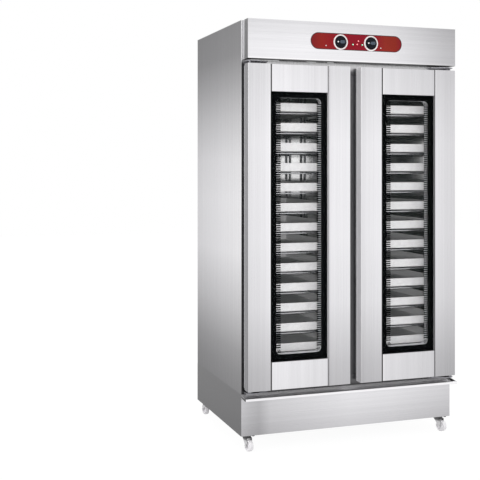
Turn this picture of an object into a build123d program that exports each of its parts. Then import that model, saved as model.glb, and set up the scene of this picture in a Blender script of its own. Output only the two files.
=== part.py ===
from build123d import *
import math
import os

# Two-door dough proofing cabinet: a free-standing insulated steel cabinet on four castors.
# Millimetres, +Z up, +X to the right of a person who stands at the doors and looks along +Y.
# The origin is on the floor, in the middle of the space that the cabinet takes up.

# ------------------------------------------------------------------ driving dimensions
WIDTH = 1000.0                # over the side panels
BODY_DEPTH = 655.0            # front edges of the side panels to the back panel
DOOR_REACH = 60.0             # doors, header and gutter stand this far in front of the body
KNOB_REACH = 16.0             # knobs stand this far in front of the header
GLAND_REACH = 16.0            # the cable gland stands this far behind the back panel
TOP = 1815.0

FACE = (DOOR_REACH + KNOB_REACH - BODY_DEPTH - GLAND_REACH) / 2   # y of the sealing face
BACK = FACE + BODY_DEPTH
FRONT = FACE - DOOR_REACH
HALF = WIDTH / 2

SHEET = 1.2                   # outer sheet steel
LINER = 1.0                   # chamber sheet steel
BEND = 3.0                    # outside radius of a fold
EDGE = 2.0                    # outside radius of the sharper folds of skirt, doors and header

BASE_LOW = 70.5               # underside of the base box, on top of the castor plates
FLOOR_PLATE = 3.0
DECK = 247.0                  # seam between the base box and the body
DOOR_LOW = 269.0
DOOR_HIGH = 1630.0
HEADER_LOW = 1650.0

# chamber
WALL = 28.0                   # outer side panel to the chamber wall
CHAMBER_FLOOR = 281.0
CHAMBER_TOP = 1620.0
CHAMBER_DEPTH = 620.0
OPEN_LOW = 300.0              # opening in the sealing face
OPEN_HIGH = 1600.0
SEAL_WIDTH = 34.0             # side panel's front return, which the gasket meets
POST_HALF = 48.0              # centre post
RETURN = 12.0                 # depth of the folded edges round the opening
SHELF = 1646.0                # electrics shelf over the chamber

# trays and racks
LEVELS = 13
PITCH = 85.5
TOP_RIM = 1473.0              # rim of the top tray
TRAY_WIDTH = 400.0
TRAY_DEPTH = 600.0
TRAY_HEIGHT = 36.0
TRAY_WALL = 1.5
TRAY_CORNER = 18.0
TRAY_DRAFT = 4.0              # degrees
TRAY_SETBACK = 8.0            # front of the trays behind the sealing face
BAY = 254.0                   # centre of each stack from the middle of the cabinet
RUNNER = 5.0                  # square bars that a tray slides on
CROSS = 7.0                   # square bars that carry the runners
RUNNER_OUT = 186.0            # runner from the middle of its bay
POST_SIDE = 12.0              # rack uprights, square
POST_OUT = (-466.0, -40.0)    # rack uprights of the left bay

# doors
DOOR_OUT = 491.0              # outer edge from the middle
DOOR_IN = 25.0                # inner edge from the middle
STILE = 103.0
SKIN_DEPTH = 42.0
GROOVE = 3.0                  # between the stiles and the panels
GLASS_LOW = 385.6
GLASS_HIGH = 1515.0
GLASS_SETBACK = 11.5
PANE = 4.0
SPACER = 12.0
BORDER_SIDE = 27.0
BORDER_TOP = 27.0
BORDER_LOW = 31.0
WINDOW_CORNER = 20.0
PAN_DEPTH = 12.0
GASKET_INSET = 12.0
GASKET_WIDTH = 12.0
GASKET_GAP = 1.0
PIVOT_OUT = 475.0             # door pivot from the middle
PIVOT_BACK = 39.0             # door pivot in front of the sealing face
PIN_R = 4.0
PIN_SIDES = 12                # flats that stand for the round of a small pin
RUNNING = 0.05                # radial clearance of a pin or shaft in its hole
COLLAR_R = 9.0                # collar that carries the door on its lower bracket

# header and controls
HEADER_BACK = 17.0            # depth of the narrow frame behind the header
PANEL_Z = 1735.0
OVERLAY_LENGTH = 432.0
OVERLAY_HEIGHT = 71.0
OVERLAY_X = 6.0
OVERLAY = 0.8
KNOB_X = (-72.0, 72.0)
KNOB_Z = 1733.0
KNOB_R = 26.0
BEZEL_R = 33.0
BEZEL_SIDES = 24
DIAL_SIDES = 24               # flutes round a knob's skirt
SPINDLE_R = 3.0
SPINDLE_DRIVE = 4.2           # square end of a spindle, inside its knob
NECK_R = 5.0                  # threaded neck of a thermostat
GREEN_LAMPS = ((-14.0, 1725.0), (30.0, 1725.0))
RED_LAMPS = ((6.0, 1726.0), (12.0, 1741.0))
LAMP_R = 3.5

# castors
CASTOR_X = 462.0
CASTOR_SETBACK = 36.0
WHEEL_R = 25.0
WHEEL_SIDES = 24
WHEEL_WIDTH = 20.0
TRAIL = 18.0
AXLE_R = 3.0
KINGPIN_R = 4.0
CASTOR_PLATE = 2.5
CASTOR_BOLT_R = 3.0
CASTOR_BOLT_OUT = 21.0
FORK_CROWN = 54.5             # underside of the fork's crown
FORK_SHEET = 2.5
LEG_IN = WHEEL_WIDTH / 2 + 1  # inside of the fork's legs
HEADINGS = {"front_left": 10.0, "front_right": 20.0, "rear_left": 186.0, "rear_right": 170.0}

# water pan and fan
WELL = (460.0, 300.0, 100.0)  # inside width, depth and height of the water pan
WELL_Y = FACE + 330.0
FAN_Y = FACE + 300.0
FAN_R = 90.0
FAN_LOW = 1572.0
SHAFT_R = 4.0
SHAFT_PASSAGE = 20.0          # square opening for the fan shaft between chamber and shelf
HEATER_R = 4.0
HEATER_Z = 330.0

# cable gland and hinge brackets
GLAND_R = 8.0
GLAND_AT = (380.0, BACK - 4, 1700.0)
CABLE_R = 5.0
BRACKET = 4.0
BRACKET_Z = (257.0, 1640.0)
BRACKET_INNER = 389.0
BRACKET_TIP = 13.0            # radius round the pivot
BOLT_R = 2.0
BOLT_X = (470.0, 405.0)
BOLT_DROP = 5.0               # bolts under the bracket plate


# ------------------------------------------------------------------ helpers
def slab(x0, x1, y0, y1, z0, z1):
    """Rectangular solid between two corners."""
    return Pos((x0 + x1) / 2, (y0 + y1) / 2, (z0 + z1) / 2) * Box(x1 - x0, y1 - y0, z1 - z0)


def rod(x, y, z, radius, length, axis="Z"):
    """Cylinder that starts at a point and runs along a positive axis."""
    turn = {"X": Rot(0, 90, 0), "Y": Rot(-90, 0, 0), "Z": Rot(0, 0, 0)}[axis]
    return Pos(x, y, z) * turn * Cylinder(radius, length, align=(Align.CENTER, Align.CENTER, Align.MIN))


def prism(x, y, z, radius, length, axis="Z", sides=6):
    """Regular prism with a flat side down. Fixed screws, nuts and their holes are six-sided."""
    turn = {"X": Rot(0, 90, 0), "Y": Rot(-90, 0, 0), "Z": Rot(0, 0, 0)}[axis]
    outline = RegularPolygon(radius, sides, major_radius=False, rotation=180 / sides)
    return Pos(x, y, z) * turn * extrude(outline, amount=length)


def pin(x, y, z, radius, length, axis="Z"):
    """Small pin or its hole, drawn with twelve flats whose edges lie on the radius."""
    return prism(x, y, z, radius * math.cos(math.pi / PIN_SIDES), length, axis, PIN_SIDES)


def folded(points, plane, length, thickness=SHEET, radius=BEND):
    """Sheet folded along its outer surface, with the thickness on the right of the run."""
    outer = FilletPolyline(*points, radius=radius)
    outline = make_face(offset(outer, amount=thickness, side=Side.RIGHT))
    return extrude(plane * outline, amount=length)


def shell_pan(x0, x1, y0, y1, z0, z1, bends):
    """Five-sided sheet pan, open towards +Y, with folds along one axis and welded ends."""
    outer = slab(x0, x1, y0, y1, z0, z1)
    outer = fillet(outer.faces().sort_by(Axis.Y)[0].edges().filter_by(bends), EDGE)
    return outer - slab(x0 + SHEET, x1 - SHEET, y0 + SHEET, y1 + 1, z0 + SHEET, z1 - SHEET)


def frame_ring(x0, x1, z0, z1, margins, corner, outer_corner=0.0):
    """Face of a rectangular ring in the XZ plane; margins are left, right, bottom and top."""
    left, right, bottom, top = margins
    wide, high = x1 - x0, z1 - z0
    if outer_corner:
        outer = Pos((x0 + x1) / 2, (z0 + z1) / 2) * RectangleRounded(wide, high, outer_corner)
    else:
        outer = Pos((x0 + x1) / 2, (z0 + z1) / 2) * Rectangle(wide, high)
    hole_wide, hole_high = wide - left - right, high - bottom - top
    middle = Pos((x0 + left + x1 - right) / 2, (z0 + bottom + z1 - top) / 2)
    if corner:
        return outer - middle * RectangleRounded(hole_wide, hole_high, corner)
    return outer - middle * Rectangle(hole_wide, hole_high)


def along_y(face, y0, y1):
    """Extrudes a face drawn as x, z from y0 to y1."""
    # Plane.XZ has its normal along -Y, so the extrusion starts at the rear plane
    return extrude(Plane.XZ.offset(-y1) * face, amount=y1 - y0)


def across_x(points, x0, x1, thickness=SHEET, radius=BEND):
    """Sheet folded along points drawn as y, z and as long as x0 to x1."""
    return folded(points, Plane.YZ.offset(x0), x1 - x0, thickness, radius)


def mirrored(solid):
    """The same piece on the other side of the cabinet."""
    return mirror(solid, about=Plane.YZ)


def group(*solids):
    """Several separate solids as one node."""
    flat = []
    for item in solids:
        flat.extend(item.solids())
    return Compound(children=flat)


def inner_sheet(z, thickness=SHEET):
    """Horizontal sheet that fills the body between the folded side panels."""
    deep = BODY_DEPTH - 3 * SHEET
    outline = Rectangle(WIDTH - 2 * SHEET, deep)
    outline = chamfer(outline.vertices(), BEND - SHEET)
    return Pos(0, FACE + SHEET + deep / 2, z) * extrude(outline, amount=thickness)


def bolt_holes(x, *plates):
    """Holes of the hinge bracket bolts at x, under the given bracket plates."""
    return group(*[prism(x, FACE - 10, z - BOLT_DROP, BOLT_R, 20, "Y") for z in plates])


def shaft_passage(z0, z1):
    """Square opening round the fan shaft."""
    half = SHAFT_PASSAGE / 2
    return slab(-half, half, FAN_Y - half, FAN_Y + half, z0, z1)


def heating_tube(points, z, cut):
    """Level eight-sided tube along points, each corner bent in two steps that start cut away from it."""
    route = [points[0]]
    for before, here, after in zip(points, points[1:], points[2:]):
        for there in (before, after):
            length = math.dist(here, there)
            route.append(tuple(h + (t - h) * cut / length for h, t in zip(here, there)))
    route.append(points[-1])
    path = Polyline(*[(x, y, z) for x, y in route])
    start = Plane(origin=path @ 0, x_dir=(0, 0, 1), z_dir=path % 0)
    section = RegularPolygon(HEATER_R, 8, major_radius=False, rotation=22.5)
    return sweep(start * section, path, transition=Transition.RIGHT)


# ------------------------------------------------------------------ outer body
def side_panel():
    """Left side panel, folded inwards at the sealing face and at the back."""
    points = ((-HALF + SEAL_WIDTH, FACE), (-HALF, FACE), (-HALF, BACK - SHEET), (-HALF + 18, BACK - SHEET))
    panel = folded(points, Plane.XY.offset(DECK), TOP - SHEET - DECK)
    return panel - bolt_holes(-BOLT_X[0], *BRACKET_Z)


def back_panel():
    """Flat back with two columns of cooling slots behind the electrics shelf."""
    panel = slab(-HALF + 1, HALF - 1, BACK - SHEET, BACK, DECK, TOP - SHEET)
    slots = Sketch()
    for x in (-150, 150):
        for row in range(6):
            slots += Pos(x, 1685 + 16 * row) * Rectangle(150, 5)
    panel -= along_y(slots, BACK - 3, BACK + 1)
    return panel - prism(*GLAND_AT, GLAND_R, 10, "Y", 12)


def roof_panel():
    """Flat roof sheet over the side and back panels."""
    return slab(-HALF, HALF, FACE, BACK, TOP - SHEET, TOP)


def base_box():
    """Plinth skirt under the body, one sheet bent round four corners."""
    skirt = RectangleRounded(WIDTH, BODY_DEPTH, EDGE) - Rectangle(WIDTH - 2 * SHEET, BODY_DEPTH - 2 * SHEET)
    return Pos(0, (FACE + BACK) / 2, BASE_LOW) * extrude(skirt, amount=DECK - BASE_LOW)


def base_floor():
    """Stiff frame welded inside the foot of the skirt, which the castors are bolted to."""
    ends = (FACE + SHEET, BACK - SHEET)
    plate = slab(-HALF + SHEET, HALF - SHEET, *ends, BASE_LOW, BASE_LOW + FLOOR_PLATE)
    plate -= slab(-330, 330, FACE + 120, BACK - 120, BASE_LOW - 1, BASE_LOW + FLOOR_PLATE + 1)
    return plate - castor_holes()


def deck():
    """Sheet between the base and the insulation, open round the water pan."""
    return inner_sheet(DECK) - well_opening()


def well_opening():
    """Space that the water pan hangs through."""
    reach_x, reach_y = WELL[0] / 2 + 4, WELL[1] / 2 + 4
    return slab(-reach_x, reach_x, WELL_Y - reach_y, WELL_Y + reach_y, DECK - 1, CHAMBER_FLOOR + 1)


def insulation():
    """Foam slabs in the walls, under the floor and over the ceiling."""
    inside = HALF - WALL
    rear = FACE + CHAMBER_DEPTH
    ends = (FACE + BEND, BACK - SHEET - BEND)
    side = slab(-HALF + SHEET, -inside - LINER, *ends, DECK + SHEET, SHELF)
    back = slab(-inside - LINER, inside + LINER, rear + LINER, BACK - 2 * SHEET, DECK + SHEET, SHELF)
    across = (-inside - LINER, inside + LINER, FACE + SHEET, rear + LINER)
    low = slab(*across, DECK + SHEET, CHAMBER_FLOOR - LINER) - well_opening()
    high = slab(*across, CHAMBER_TOP + LINER, SHELF) - shaft_passage(CHAMBER_TOP, SHELF + 1)
    back -= group(*heater_wall_holes())
    return group(side, mirrored(side), back, low, high)


# ------------------------------------------------------------------ chamber
def chamber_liner():
    """Side walls, rear wall and ceiling of the chamber, spot-welded edge to edge."""
    inside = HALF - WALL
    rear = FACE + CHAMBER_DEPTH
    side = slab(-inside - LINER, -inside, FACE + SHEET, rear, CHAMBER_FLOOR, CHAMBER_TOP)
    wide = (-inside - LINER, inside + LINER)
    back = slab(*wide, rear, rear + LINER, CHAMBER_FLOOR, CHAMBER_TOP) - group(*heater_wall_holes())
    ceiling = slab(*wide, FACE + SHEET, rear + LINER, CHAMBER_TOP, CHAMBER_TOP + LINER)
    ceiling -= shaft_passage(CHAMBER_TOP - 1, CHAMBER_TOP + 2)
    return group(side, mirrored(side), back, ceiling)


def chamber_floor():
    """Floor of the chamber, open over the water pan."""
    reach = HALF - WALL + LINER
    rear = FACE + CHAMBER_DEPTH + LINER
    sheet = slab(-reach, reach, FACE + SHEET, rear, CHAMBER_FLOOR - LINER, CHAMBER_FLOOR)
    return sheet - well_opening()


def frame_rails():
    """Folded rails over and under the opening."""
    reach = HALF - SEAL_WIDTH
    over = across_x(((FACE + RETURN, OPEN_HIGH), (FACE, OPEN_HIGH), (FACE, HEADER_LOW)), -reach, reach)
    under = across_x(((FACE, DECK + SHEET), (FACE, OPEN_LOW), (FACE + RETURN, OPEN_LOW)), -reach, reach)
    for x in (-BOLT_X[1], BOLT_X[1]):
        over -= bolt_holes(x, BRACKET_Z[1])
        under -= bolt_holes(x, BRACKET_Z[0])
    return group(over, under)


def centre_post():
    """Folded post that both gaskets seal on."""
    points = ((POST_HALF, FACE + RETURN), (POST_HALF, FACE), (-POST_HALF, FACE), (-POST_HALF, FACE + RETURN))
    return folded(points, Plane.XY.offset(OPEN_LOW), OPEN_HIGH - OPEN_LOW)


def tray_bottom(level):
    """Height of the underside of a tray, counted from the top."""
    return TOP_RIM - TRAY_HEIGHT - PITCH * level


def tray(level):
    """Baking tray with sloping walls and cut corners."""
    shrink = 2 * TRAY_HEIGHT * math.tan(math.radians(TRAY_DRAFT))
    outline = Rectangle(TRAY_WIDTH - shrink, TRAY_DEPTH - shrink)
    outline = chamfer(outline.vertices(), TRAY_CORNER)
    outer = extrude(outline, amount=TRAY_HEIGHT, taper=-TRAY_DRAFT)
    floor = offset(outline, amount=-TRAY_WALL, kind=Kind.INTERSECTION)
    inner = extrude(Pos(0, 0, TRAY_WALL) * floor, amount=TRAY_HEIGHT, taper=-TRAY_DRAFT)
    middle = FACE + TRAY_SETBACK + TRAY_DEPTH / 2
    return Pos(-BAY, middle, tray_bottom(level)) * (outer - inner)


def trays():
    """Stack of trays of the left bay."""
    return group(*[tray(level) for level in range(LEVELS)])


def rack():
    """Welded rack of the left bay: four uprights, and two cross bars and two runners a level."""
    front = FACE + TRAY_SETBACK + 7
    rear = FACE + TRAY_SETBACK + TRAY_DEPTH - 6
    pieces = []
    for x in POST_OUT:
        for y in (front + CROSS, rear - POST_SIDE):
            side = POST_SIDE / 2
            pieces.append(slab(x - side, x + side, y, y + POST_SIDE, CHAMBER_FLOOR, CHAMBER_TOP))
    ends = (POST_OUT[0] - POST_SIDE / 2, POST_OUT[1] + POST_SIDE / 2)
    for level in range(LEVELS):
        seat = tray_bottom(level)
        low = seat - RUNNER
        for y in (front, rear):
            pieces.append(slab(*ends, y, y + CROSS, low - CROSS, low))
        for x in (-BAY - RUNNER_OUT, -BAY + RUNNER_OUT):
            pieces.append(slab(x - RUNNER / 2, x + RUNNER / 2, front, rear + CROSS, low, seat))
    return group(*pieces)


# ------------------------------------------------------------------ heat, steam and air
def heater_wall_holes():
    """Holes where the air heater's ends pass through the rear wall."""
    holes = []
    for x in (-60, 60):
        holes.append(prism(x, FACE + CHAMBER_DEPTH - 2, HEATER_Z, HEATER_R, 60, "Y", 8))
    return holes


def air_heater():
    """Hairpin heating tube along the rear of the chamber, on two bent stands."""
    rear = FACE + CHAMBER_DEPTH + 12
    points = (
        (-60, rear), (-60, rear - 50), (-420, rear - 50), (-420, rear - 96),
        (420, rear - 96), (420, rear - 50), (60, rear - 50), (60, rear),
    )
    tube = heating_tube(points, HEATER_Z, 12)
    y = rear - 96
    stand = slab(-302, -298, y - 12, y + 12, CHAMBER_FLOOR, HEATER_Z + 10)
    stand += slab(-302, -282, y - 12, y + 12, CHAMBER_FLOOR, CHAMBER_FLOOR + 2)
    stand -= prism(-310, y, HEATER_Z, HEATER_R, 20, "X", 8)
    return group(tube, stand, mirrored(stand))


def water_pan():
    """Folded pan that hangs by its rim from the chamber floor and holds the humidity water."""
    wide, deep, high = WELL
    low = CHAMBER_FLOOR - high
    outer = Pos(0, WELL_Y, low) * extrude(Rectangle(wide + 2, deep + 2), amount=high)
    rim = Pos(0, WELL_Y, CHAMBER_FLOOR) * extrude(Rectangle(wide + 32, deep + 32), amount=1)
    inner = Pos(0, WELL_Y, low + 1) * extrude(Rectangle(wide, deep), amount=high + 2)
    pan = outer + rim - inner
    for y in (WELL_Y - 60, WELL_Y + 60):
        pan -= prism(-wide / 2 - 4, y, low + 25, HEATER_R, 10, "X", 8)
    return pan


def humidity_heater():
    """Immersion heating tube in the water pan, ends out through its left wall."""
    x0 = -WELL[0] / 2 - 15
    points = ((x0, WELL_Y - 60), (180, WELL_Y - 60), (180, WELL_Y + 60), (x0, WELL_Y + 60))
    return heating_tube(points, CHAMBER_FLOOR - WELL[2] + 25, 18)


def electrics_shelf():
    """Sheet over the insulation that carries the motor and the terminals."""
    return inner_sheet(SHELF) - shaft_passage(SHELF - 1, SHELF + 2)


def fan_motor():
    """Shaded-pole motor on the shelf: bridge, laminated core, coil, and the bore of its shaft."""
    low = SHELF + SHEET
    motor = slab(-55, 55, FAN_Y - 12, FAN_Y + 12, low, low + 3)
    motor += slab(-32, 32, FAN_Y - 28, FAN_Y + 36, low + 3, low + 35)
    motor += slab(-20, 20, FAN_Y + 36, FAN_Y + 58, low + 5, low + 33)
    motor += slab(-24, 24, FAN_Y - 10, FAN_Y + 10, low + 35, low + 46)
    return motor - prism(0, FAN_Y, low - 1, SHAFT_R + RUNNING, 36, sides=12)


def fan_impeller():
    """Five-bladed fan on its shaft."""
    fan = prism(0, 0, 0, 16, 28, sides=10)
    for step in range(5):
        blade = Pos(FAN_R / 2 + 5, 0, 14) * Rot(28, 0, 0) * Box(FAN_R - 14, 46, 1.6)
        fan += Rot(0, 0, 72 * step) * blade
    shaft = rod(0, 0, 27, SHAFT_R, SHELF + 32 - FAN_LOW - 27)
    return Pos(0, FAN_Y, FAN_LOW) * (fan + shaft)


def fan_guard():
    """Two rings and cross bars under the fan, held by four legs from the ceiling."""
    low = FAN_LOW - 14
    guard = Part()
    for radius in (FAN_R / 2, FAN_R + 8):
        guard += prism(0, 0, 0, radius + 4, 4, sides=20) - prism(0, 0, -1, radius, 6, sides=20)
    for step in range(4):
        leg = Box(5, 5, CHAMBER_TOP - low, align=(Align.CENTER, Align.CENTER, Align.MIN))
        guard += Rot(0, 0, 45 + 90 * step) * Pos(FAN_R + 10, 0, 0) * leg
    for turn in (0, 90):
        guard += Rot(0, 0, 45 + turn) * slab(-FAN_R - 10, FAN_R + 10, -2, 2, 0, 3)
    return Pos(0, FAN_Y, low) * guard


def terminal_block():
    """Row of six screw terminals on the shelf, near the gland."""
    low = SHELF + SHEET
    block = slab(330, 430, BACK - 90, BACK - 66, low, low + 12)
    for pole in range(6):
        block += slab(333 + 16 * pole, 345 + 16 * pole, BACK - 84, BACK - 72, low + 12, low + 20)
    return block


def cable_gland():
    """Gland in the back panel: threaded neck through the sheet, nut inside, hexagon and cap nut."""
    x, _, z = GLAND_AT
    neck = prism(x, BACK - 8, z, GLAND_R, 8, "Y", 12)
    nut = prism(x, BACK - SHEET - 5, z, GLAND_R + 3, 5, "Y")
    hexagon = prism(x, BACK, z, GLAND_R + 4, 6, "Y")
    cap = prism(x, BACK + 6, z, GLAND_R + 1, GLAND_REACH - 6, "Y", 12)
    gland = neck + nut + hexagon + cap
    return gland - rod(x, BACK - 20, z, CABLE_R, 60, "Y")


# ------------------------------------------------------------------ header and controls
def header_frame():
    """Narrow frame between the body and the header, its front edge inside the header's rim."""
    reach = DOOR_OUT - SHEET
    ring = frame_ring(-reach, reach, HEADER_LOW + SHEET, TOP - SHEET, (SHEET,) * 4, 0.0)
    return along_y(ring, FACE - HEADER_BACK - 8, FACE)


def header():
    """Header box over the doors, open at the back, drilled for the controls."""
    box = shell_pan(-DOOR_OUT, DOOR_OUT, FRONT, FACE - HEADER_BACK, HEADER_LOW, TOP, Axis.X)
    return box - control_holes()


def control_holes():
    """Holes of the thermostat necks and lamps through the header and its overlay."""
    necks = [prism(x, FRONT - 5, KNOB_Z, NECK_R, 10, "Y") for x in KNOB_X]
    return group(*necks, *[prism(x, FRONT - 5, z, LAMP_R, 10, "Y", 12) for x, z in GREEN_LAMPS + RED_LAMPS])


def control_overlay():
    """Stadium-shaped printed plate on the header."""
    plate = Pos(OVERLAY_X, PANEL_Z) * SlotOverall(OVERLAY_LENGTH, OVERLAY_HEIGHT)
    return along_y(plate, FRONT - OVERLAY, FRONT) - control_holes()


def bezel(x):
    """Flat ring on the overlay round a knob."""
    front = FRONT - OVERLAY
    ring = prism(x, front - 4, KNOB_Z, BEZEL_R, 4, "Y", BEZEL_SIDES)
    return ring - prism(x, front - 5, KNOB_Z, KNOB_R + 1, 6, "Y", BEZEL_SIDES)


def knob(x):
    """Control knob with a fluted skirt and a grip bar, driven by the square end of its spindle."""
    front = FRONT - OVERLAY
    reach = KNOB_REACH - OVERLAY
    skirt = extrude(RegularPolygon(KNOB_R, DIAL_SIDES), amount=4)
    crown = extrude(RegularPolygon(KNOB_R - 5, DIAL_SIDES), amount=reach - 9, taper=12)
    grip = slab(-KNOB_R + 9, KNOB_R - 9, -4, 4, 6, reach)
    body = Pos(0, 0, 1) * skirt + Pos(0, 0, 5) * crown + chamfer(grip.edges().filter_by(Axis.Z), 2)
    half = SPINDLE_DRIVE / 2
    drive = slab(-half, half, -half, half, 1, 9)
    spindle = rod(0, 0, -22, SPINDLE_R, 23) + drive
    seat = Pos(x, front, KNOB_Z) * Rot(90, 0, 0)
    return group(seat * (body - drive), seat * spindle)


def thermostat(x):
    """Capillary thermostat behind the header, its neck through the plate."""
    case = slab(x - 20, x + 20, FRONT + SHEET, FRONT + SHEET + 34, KNOB_Z - 17, KNOB_Z + 17)
    neck = prism(x, FRONT - OVERLAY, KNOB_Z, NECK_R, OVERLAY + SHEET, "Y")
    return case + neck - prism(x, FRONT - OVERLAY - 1, KNOB_Z, SPINDLE_R + RUNNING, 26, "Y", 12)


def lamps(places):
    """Indicator lamps: each lens stands out of the overlay, its holder clipped behind the header."""
    pieces = []
    for x, z in places:
        lens = prism(x, FRONT - OVERLAY - 4, z, LAMP_R, OVERLAY + 4 + SHEET, "Y", 12)
        pieces.append(lens + prism(x, FRONT + SHEET, z, LAMP_R + 1, 14, "Y"))
    return group(*pieces)


# ------------------------------------------------------------------ gutter and hinge brackets
def drip_gutter():
    """Gutter under the doors with a rolled front lip and closed ends."""
    rim, low, high = DECK - 1, 229, 240
    points = ((FACE, rim), (FACE, low + 6), (FRONT, low), (FRONT, high), (FRONT + 8, high))
    trough = across_x(points, -HALF + SHEET, HALF - SHEET, radius=2.5)
    end = Polyline((FACE, rim), (FACE, low + 6), (FRONT, low), (FRONT, high), close=True)
    wall = extrude(Plane.YZ.offset(-HALF) * make_face(end), amount=SHEET)
    return trough + wall + mirrored(wall)


def hinge_bracket(z):
    """Left hinge plate with its turned-down foot on the sealing face."""
    y = FACE - PIVOT_BACK
    outline = make_face(Polyline(
        (-PIVOT_OUT - BRACKET_TIP, y), (-PIVOT_OUT - BRACKET_TIP, FACE), (-BRACKET_INNER, FACE),
        (-BRACKET_INNER, FACE - 24), (-PIVOT_OUT + 30, y - BRACKET_TIP), (-PIVOT_OUT, y - BRACKET_TIP),
        close=True,
    ))
    outline += Pos(-PIVOT_OUT, y) * RegularPolygon(BRACKET_TIP, 16, major_radius=False, rotation=11.25)
    plate = extrude(Pos(0, 0, z) * outline, amount=BRACKET)
    foot = slab(-PIVOT_OUT - BRACKET_TIP, -BRACKET_INNER, FACE - BRACKET, FACE, z - 9.5, z)
    bracket = plate + foot - rod(-PIVOT_OUT, y, z - 1, PIN_R + RUNNING, BRACKET + 2)
    for x in BOLT_X:
        bracket -= bolt_holes(-x, z)
    return bracket


def hinge_brackets():
    """The four hinge plates."""
    left = [hinge_bracket(z) for z in BRACKET_Z]
    return group(*left, *[mirrored(plate) for plate in left])


def bracket_bolts():
    """Hexagon bolts that hold the hinge plates to the sealing face."""
    bolts = []
    for z in BRACKET_Z:
        for x in BOLT_X:
            for side in (-1, 1):
                shank = prism(side * x, FACE - BRACKET, z - BOLT_DROP, BOLT_R, BRACKET + SHEET, "Y")
                bolts.append(shank + prism(side * x, FACE - BRACKET - 2.5, z - BOLT_DROP, 3.8, 2.5, "Y"))
    return group(*bolts)


# ------------------------------------------------------------------ doors
# These are the left door's pieces; the right door's are their mirror image.
COLUMN = (-DOOR_OUT + STILE, -DOOR_IN - STILE)       # x of the column between the stiles
SKIN_BACK = FRONT + SKIN_DEPTH
PANE_FRONT = FRONT + GLASS_SETBACK
WINDOW = (COLUMN[0] + BORDER_SIDE, COLUMN[1] - BORDER_SIDE, GLASS_LOW + BORDER_LOW, GLASS_HIGH - BORDER_TOP)


def door_stiles():
    """Two folded channels as high as the door; the outer one is drilled for the pivots."""
    half_groove = GROOVE / 2
    outer = shell_pan(-DOOR_OUT, COLUMN[0] - half_groove, FRONT, SKIN_BACK, DOOR_LOW, DOOR_HIGH, Axis.Z)
    inner = shell_pan(COLUMN[1] + half_groove, -DOOR_IN, FRONT, SKIN_BACK, DOOR_LOW, DOOR_HIGH, Axis.Z)
    for z in (DOOR_LOW - 1, DOOR_HIGH - 2):
        outer -= pin(-PIVOT_OUT, FACE - PIVOT_BACK, z, PIN_R, 3)
    return group(outer, inner)


def door_panels():
    """Folded panels over and under the glass."""
    x0, x1 = COLUMN[0] + GROOVE / 2, COLUMN[1] - GROOVE / 2
    low = shell_pan(x0, x1, FRONT, SKIN_BACK, DOOR_LOW, GLASS_LOW, Axis.X)
    high = shell_pan(x0, x1, FRONT, SKIN_BACK, GLASS_HIGH, DOOR_HIGH, Axis.X)
    return group(low, high)


def door_glass():
    """Outer and inner pane of the sealed glazing unit."""
    panes = []
    for front in (PANE_FRONT, PANE_FRONT + PANE + SPACER):
        panes.append(slab(COLUMN[0] - 1, COLUMN[1] + 1, front, front + PANE, GLASS_LOW, GLASS_HIGH))
    return group(*panes)


def door_spacer():
    """Black frame that holds the panes apart, with a round-cornered window."""
    margins = (BORDER_SIDE, BORDER_SIDE, BORDER_LOW, BORDER_TOP)
    ring = frame_ring(COLUMN[0], COLUMN[1], GLASS_LOW, GLASS_HIGH, margins, WINDOW_CORNER)
    return along_y(ring, PANE_FRONT + PANE, PANE_FRONT + PANE + SPACER)


def door_inner_pan():
    """Foam-filled inner pan with a round-cornered window and a collar that clamps the glass."""
    x0, x1, z0, z1 = -DOOR_OUT + 2, -DOOR_IN - 2, DOOR_LOW + 2, DOOR_HIGH - 2
    inset = 4
    margins = (
        WINDOW[0] - inset - x0, x1 - WINDOW[1] - inset, WINDOW[2] - inset - z0, z1 - WINDOW[3] - inset,
    )
    pan = along_y(frame_ring(x0, x1, z0, z1, margins, WINDOW_CORNER, 8), SKIN_BACK, SKIN_BACK + PAN_DEPTH)
    seat = 6
    collar = frame_ring(
        WINDOW[0] - inset - seat, WINDOW[1] + inset + seat, WINDOW[2] - inset - seat,
        WINDOW[3] + inset + seat, (seat,) * 4, WINDOW_CORNER,
    )
    return pan + along_y(collar, PANE_FRONT + 2 * PANE + SPACER, SKIN_BACK)


def door_gasket():
    """Magnetic gasket round the back of the inner pan."""
    ring = frame_ring(
        -DOOR_OUT + GASKET_INSET, -DOOR_IN - GASKET_INSET, DOOR_LOW + GASKET_INSET,
        DOOR_HIGH - GASKET_INSET, (GASKET_WIDTH,) * 4, 0.0,
    )
    return along_y(ring, SKIN_BACK + PAN_DEPTH, FACE - GASKET_GAP)


def door_pivots():
    """Top and bottom pivot pins, each on a plate inside the stile; the lower one has a collar."""
    x, y = -PIVOT_OUT, FACE - PIVOT_BACK
    plate = 6
    top = pin(x, y, DOOR_HIGH - SHEET - plate, PIN_R, BRACKET_Z[1] + BRACKET - DOOR_HIGH + SHEET + plate)
    top += slab(x - 12, x + 12, y - 12, y + 12, DOOR_HIGH - SHEET - plate, DOOR_HIGH - SHEET)
    low = pin(x, y, BRACKET_Z[0], PIN_R, DOOR_LOW + SHEET + plate - BRACKET_Z[0])
    low += slab(x - 12, x + 12, y - 12, y + 12, DOOR_LOW + SHEET, DOOR_LOW + SHEET + plate)
    seat = BRACKET_Z[0] + BRACKET + 0.1
    low += prism(x, y, seat, COLLAR_R, DOOR_LOW - seat, sides=12)
    return group(top, low)


# ------------------------------------------------------------------ castors
def castor_places():
    """Names, positions and turns of the four castors."""
    places = []
    for name, heading in HEADINGS.items():
        x = -CASTOR_X if name.endswith("left") else CASTOR_X
        y = FACE + CASTOR_SETBACK if name.startswith("front") else BACK - CASTOR_SETBACK
        places.append((name, x, y, heading - 90))
    return places


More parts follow.
